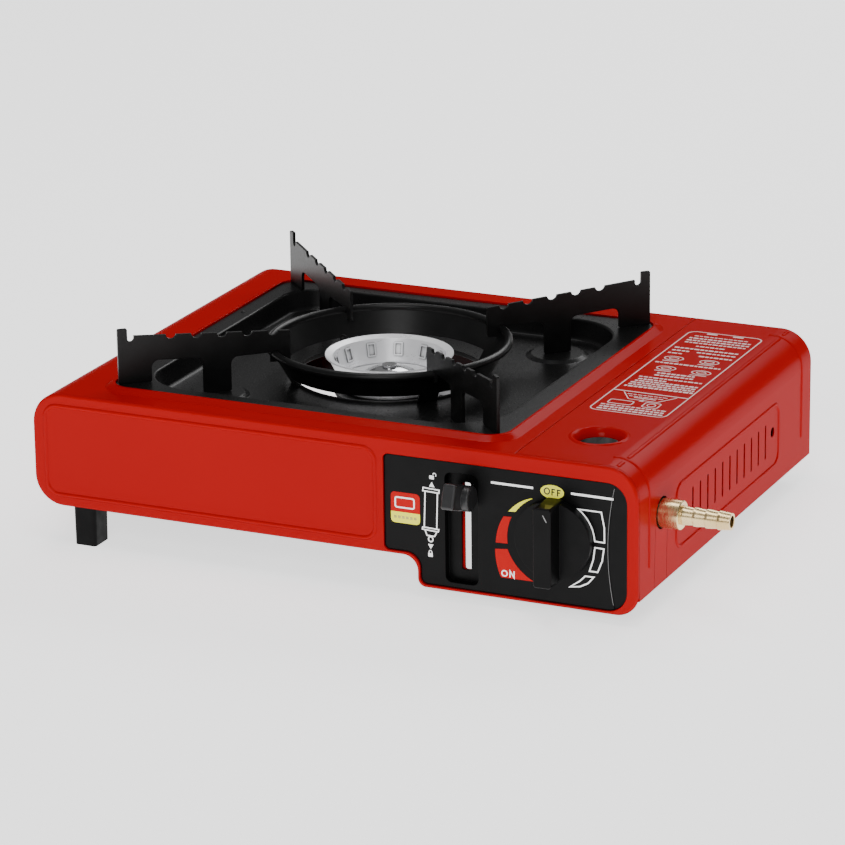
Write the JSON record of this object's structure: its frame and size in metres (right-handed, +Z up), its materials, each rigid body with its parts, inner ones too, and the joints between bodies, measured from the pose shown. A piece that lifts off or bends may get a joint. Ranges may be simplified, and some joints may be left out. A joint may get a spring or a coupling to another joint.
{
  "type": "portable butane cassette stove",
  "caption": "Flat portable gas stove: toothed pan arms on a ring over a recessed tray and burner, hinged cartridge lid, turn knob, lock lever and barbed side inlet.",
  "frame": {"origin": "centre of the bounding box's base, at table height under the feet", "axes": "+Z up, -Y towards the face with the knob and lever, +X towards the hose inlet"},
  "size_m": [0.377, 0.274, 0.1149],
  "materials": {
    "red_enamel": "semi-gloss red coat on pressed steel",
    "black_enamel": "glossy black vitreous enamel",
    "matt_black": "matt heat-resistant black coat",
    "black_panel": "fine-grained black moulding",
    "black_knob": "satin black moulding",
    "zinc_sheet": "bright galvanised sheet",
    "steel_parts": "plated steel",
    "cast_burner": "machined cast aluminium",
    "flame_cap": "bright plated",
    "cast_valve": "as-cast zinc-grey",
    "brass": "turned, slightly matt",
    "copper_pipe": "drawn tube",
    "seal_rubber": "smooth",
    "ceramic": "glazed ceramic",
    "igniter_case": "ivory moulding",
    "lead_sleeve": "silicone sleeve",
    "foot_plastic": "textured black moulding"
  },
  "bodies": {
    "casing": {"body_shell": "red_enamel", "front_panel": "red_enamel", "rear_panel": "red_enamel", "heat_shield": "zinc_sheet", "cartridge_cradle": "red_enamel", "control_panel": "black_panel", "panel_nuts": "steel_parts", "lever_bracket": "red_enamel", "inlet_bracket": "red_enamel", "hose_nozzle": "brass", "nozzle_locknut": "brass", "inlet_pipe": "copper_pipe", "gas_valve": "cast_valve", "cartridge_connector": "brass", "connector_seal": "seal_rubber", "gas_pipe": "copper_pipe", "gas_jet": "brass", "mixing_tube": "cast_burner", "burner_bowl": "cast_burner", "burner_head": "flame_cap", "burner_bracket": "zinc_sheet", "igniter_electrode": "steel_parts", "electrode_insulator": "ceramic", "igniter_lead": "lead_sleeve", "igniter_body": "igniter_case", "foot_front_left": "foot_plastic", "foot_rear_left": "foot_plastic", "foot_front_right": "foot_plastic", "foot_rear_right": "foot_plastic", "lid_hinge_pins": "steel_parts", "pusher_guides": "steel_parts"},
    "lid": {"cartridge_lid": "red_enamel"},
    "knob": {"gas_knob": "black_knob", "valve_spindle": "steel_parts"},
    "lever": {"lock_lever": "steel_parts", "lever_cap": "black_knob", "lever_shaft": "steel_parts", "lever_crank": "steel_parts"},
    "pusher": {"cartridge_pusher": "zinc_sheet"},
    "striker": {"igniter_plunger": "igniter_case"},
    "tray": {"drip_tray": "black_enamel"},
    "pan_support": {"support_ring": "matt_black", "support_arm_front_left": "matt_black", "support_arm_front_right": "matt_black", "support_arm_rear_left": "matt_black", "support_arm_rear_right": "matt_black"}
  },
  "joints": [
    {"name": "lid_hinge", "type": "hinge", "parent": "casing", "child": "lid", "pos_m": [0.1135, 0.12904, 0.02], "axis": [-1, 0, 0], "range_deg": [0, 75]},
    {"name": "knob_turn", "type": "hinge", "parent": "casing", "child": "knob", "pos_m": [0.107, -0.11696, 0.0418], "axis": [0, -1, 0], "range_deg": [0, 150]},
    {"name": "striker_push", "type": "slide", "parent": "casing", "child": "striker", "axis": [0, 1, 0], "range_m": [0, 0.005]},
    {"name": "lever_swing", "type": "hinge", "parent": "casing", "child": "lever", "pos_m": [0.0573, -0.06696, 0.04], "axis": [1, 0, 0], "range_deg": [0, 37]},
    {"name": "pusher_slide", "type": "slide", "parent": "casing", "child": "pusher", "axis": [0, -1, 0], "range_m": [0, 0.00825]},
    {"name": "tray_lift", "type": "slide", "parent": "casing", "child": "tray", "axis": [0, 0, 1], "range_m": [0, 0.06]},
    {"name": "support_lift", "type": "slide", "parent": "tray", "child": "pan_support", "axis": [0, 0, 1], "range_m": [0, 0.05]}
  ],
  "couplings": [
    {"joint": "pusher_slide", "follows": "lever_swing", "m_per_rad": 0.012775},
    {"joint": "striker_push", "follows": "knob_turn", "m_per_rad": 0.0019099}
  ]
}
